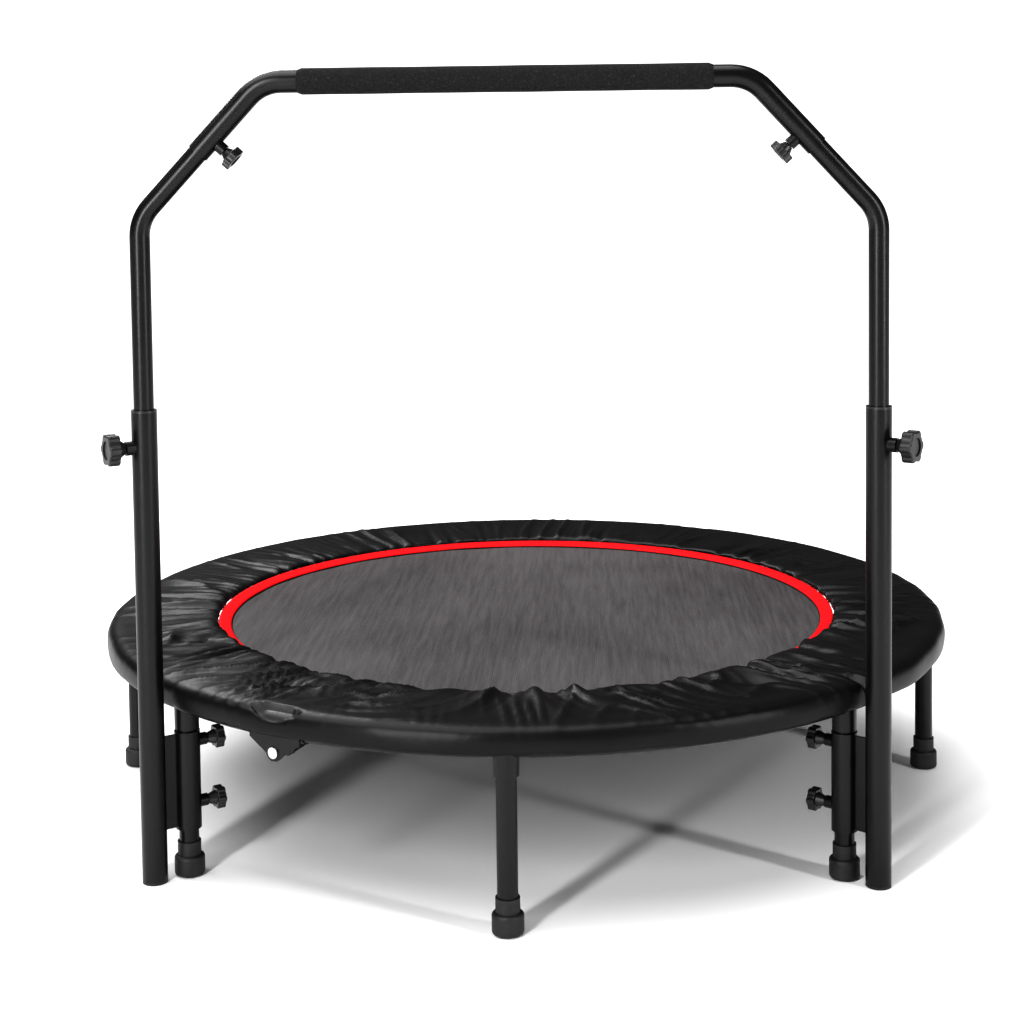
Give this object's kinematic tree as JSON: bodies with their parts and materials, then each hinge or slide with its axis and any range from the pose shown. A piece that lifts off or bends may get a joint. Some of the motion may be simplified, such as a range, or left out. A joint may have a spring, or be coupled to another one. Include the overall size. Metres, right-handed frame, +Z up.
{
  "type": "mini trampoline",
  "caption": "Round folding fitness trampoline with screw-in legs, a pleated spring cover, a woven mat with a border band and an adjustable handle bar with a foam grip.",
  "frame": {"origin": "on the floor, under the centre of the mat", "axes": "+Z up; the handle bar stands on the -Y side and spans X"},
  "size_m": [1.22, 1.22, 1.0235],
  "materials": {
    "powder_coat": "satin black powder coat",
    "rubber": "moulded black rubber",
    "plastic": "moulded black plastic",
    "zinc": "zinc plated",
    "cover_cloth": "black satin polyester",
    "mat_cloth": "woven polypropylene",
    "webbing": "black webbing",
    "red_band": "red woven tape",
    "foam": "closed cell foam"
  },
  "bodies": {
    "handle_base": {"post_left": "powder_coat", "post_right": "powder_coat", "clamp_left": "powder_coat", "clamp_right": "powder_coat", "base_weld_nuts": "powder_coat", "post_caps": "rubber", "post_bushes": "plastic", "leg_front_left": "powder_coat", "foot_front_left": "rubber", "leg_front_right": "powder_coat", "foot_front_right": "rubber"},
    "frame_a": {"frame_tube_a": "powder_coat", "hinge_brackets_a": "powder_coat", "end_plugs_a": "plastic", "leg_sockets_a": "powder_coat", "springs_a": "zinc", "mat_rings_a": "zinc", "mat_a": "mat_cloth", "mat_hem_a": "webbing", "red_border_a": "red_band", "spring_cover_a": "cover_cloth", "hinge_pins": "zinc"},
    "frame_b": {"frame_tube_b": "powder_coat", "hinge_brackets_b": "powder_coat", "end_plugs_b": "plastic", "leg_sockets_b": "powder_coat", "springs_b": "zinc", "mat_rings_b": "zinc", "mat_b": "mat_cloth", "mat_hem_b": "webbing", "red_border_b": "red_band", "spring_cover_b": "cover_cloth"},
    "handle_upper": {"side_tube_left": "powder_coat", "side_tube_right": "powder_coat", "top_tube": "powder_coat", "foam_grip": "foam", "shoulder_weld_nuts": "powder_coat"},
    "leg_front_unit": {"leg_front": "powder_coat", "foot_front": "rubber"},
    "leg_right_unit": {"leg_right": "powder_coat", "foot_right": "rubber"},
    "leg_back_right_unit": {"leg_back_right": "powder_coat", "foot_back_right": "rubber"},
    "leg_back_unit": {"leg_back": "powder_coat", "foot_back": "rubber"},
    "leg_back_left_unit": {"leg_back_left": "powder_coat", "foot_back_left": "rubber"},
    "leg_left_unit": {"leg_left": "powder_coat", "foot_left": "rubber"},
    "knob_height_left_unit": {"knob_height_left": "plastic"},
    "knob_clamp_left_lower_unit": {"knob_clamp_left_lower": "plastic"},
    "knob_clamp_left_upper_unit": {"knob_clamp_left_upper": "plastic"},
    "knob_shoulder_left_unit": {"knob_shoulder_left": "plastic"},
    "knob_height_right_unit": {"knob_height_right": "plastic"},
    "knob_clamp_right_lower_unit": {"knob_clamp_right_lower": "plastic"},
    "knob_clamp_right_upper_unit": {"knob_clamp_right_upper": "plastic"},
    "knob_shoulder_right_unit": {"knob_shoulder_right": "plastic"}
  },
  "joints": [
    {"name": "frame_lift", "type": "slide", "parent": "handle_base", "child": "frame_a", "axis": [0, 0, 1], "range_m": [0, 0.56]},
    {"name": "frame_fold", "type": "hinge", "parent": "frame_a", "child": "frame_b", "pos_m": [0, 0, 0.197], "axis": [-0.4695, -0.8829, 0], "range_deg": [0, 80]},
    {"name": "handle_height", "type": "slide", "parent": "handle_base", "child": "handle_upper", "axis": [0, 0, 1], "range_m": [0, 0.12]},
    {"name": "leg_front_screw", "type": "hinge", "parent": "frame_a", "child": "leg_front_unit", "pos_m": [0, -0.589, 0.1], "axis": [0, 0, 1], "continuous": true},
    {"name": "leg_right_screw", "type": "hinge", "parent": "frame_a", "child": "leg_right_unit", "pos_m": [0.589, 0, 0.1], "axis": [0, 0, 1], "continuous": true},
    {"name": "leg_back_right_screw", "type": "hinge", "parent": "frame_a", "child": "leg_back_right_unit", "pos_m": [0.41649, 0.41649, 0.1], "axis": [0, 0, 1], "continuous": true},
    {"name": "leg_back_screw", "type": "hinge", "parent": "frame_b", "child": "leg_back_unit", "pos_m": [0, 0.589, 0.1], "axis": [0, 0, 1], "continuous": true},
    {"name": "leg_back_left_screw", "type": "hinge", "parent": "frame_b", "child": "leg_back_left_unit", "pos_m": [-0.41649, 0.41649, 0.1], "axis": [0, 0, 1], "continuous": true},
    {"name": "leg_left_screw", "type": "hinge", "parent": "frame_b", "child": "leg_left_unit", "pos_m": [-0.589, 0, 0.1], "axis": [0, 0, 1], "continuous": true},
    {"name": "knob_height_left_turn", "type": "hinge", "parent": "handle_base", "child": "knob_height_left_unit", "pos_m": [-0.455, -0.443, 0.555], "axis": [-0.8387, -0.5446, 0], "continuous": true},
    {"name": "knob_clamp_left_lower_turn", "type": "hinge", "parent": "handle_base", "child": "knob_clamp_left_lower_unit", "pos_m": [-0.41649, -0.41649, 0.092], "axis": [0.8237, 0.567, 0], "continuous": true},
    {"name": "knob_clamp_left_upper_turn", "type": "hinge", "parent": "handle_base", "child": "knob_clamp_left_upper_unit", "pos_m": [-0.41649, -0.41649, 0.172], "axis": [0.8237, 0.567, 0], "continuous": true},
    {"name": "knob_shoulder_left_turn", "type": "hinge", "parent": "handle_upper", "child": "knob_shoulder_left_unit", "pos_m": [-0.36346, -0.443, 0.93822], "axis": [0.735, 0, -0.6781], "continuous": true},
    {"name": "knob_height_right_turn", "type": "hinge", "parent": "handle_base", "child": "knob_height_right_unit", "pos_m": [0.455, -0.443, 0.555], "axis": [0.8387, -0.5446, 0], "continuous": true},
    {"name": "knob_clamp_right_lower_turn", "type": "hinge", "parent": "handle_base", "child": "knob_clamp_right_lower_unit", "pos_m": [0.41649, -0.41649, 0.092], "axis": [-0.8237, 0.567, 0], "continuous": true},
    {"name": "knob_clamp_right_upper_turn", "type": "hinge", "parent": "handle_base", "child": "knob_clamp_right_upper_unit", "pos_m": [0.41649, -0.41649, 0.172], "axis": [-0.8237, 0.567, 0], "continuous": true},
    {"name": "knob_shoulder_right_turn", "type": "hinge", "parent": "handle_upper", "child": "knob_shoulder_right_unit", "pos_m": [0.36346, -0.443, 0.93822], "axis": [-0.735, 0, -0.6781], "continuous": true}
  ],
  "couplings": [
    {"joint": "frame_lift", "follows": "frame_fold", "m_per_rad": 0.4}
  ]
}
